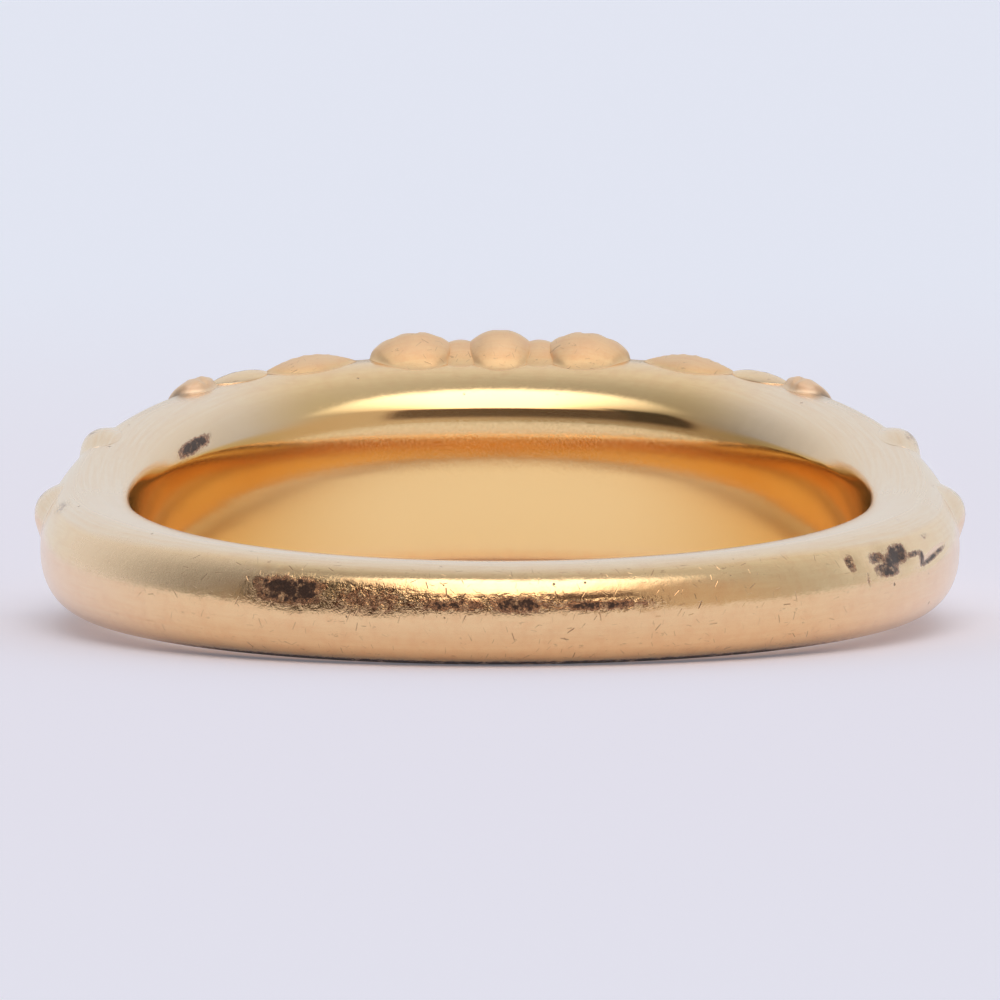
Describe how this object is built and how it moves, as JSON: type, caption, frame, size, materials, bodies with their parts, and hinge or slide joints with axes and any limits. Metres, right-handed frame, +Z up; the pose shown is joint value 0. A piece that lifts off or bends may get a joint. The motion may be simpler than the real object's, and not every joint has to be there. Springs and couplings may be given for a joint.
{
  "type": "finger ring with a floral cross",
  "caption": "Gold-coloured finger ring lying on its side: a plain rounded shank that widens into a broad crown with a raised cross of leaves and flowers.",
  "frame": {"origin": "middle of the ring's outer box, on the surface that it lies on", "axes": "+Y from the plain back of the shank towards the crown, +X along the band at the crown, +Z up from the surface"},
  "size_m": [0.022, 0.0226, 0.0062],
  "materials": {
    "gold": "polished yellow gold with a warm tint, worn and finely scratched"
  },
  "bodies": {
    "root": {"ring": "gold"}
  },
  "joints": []
}
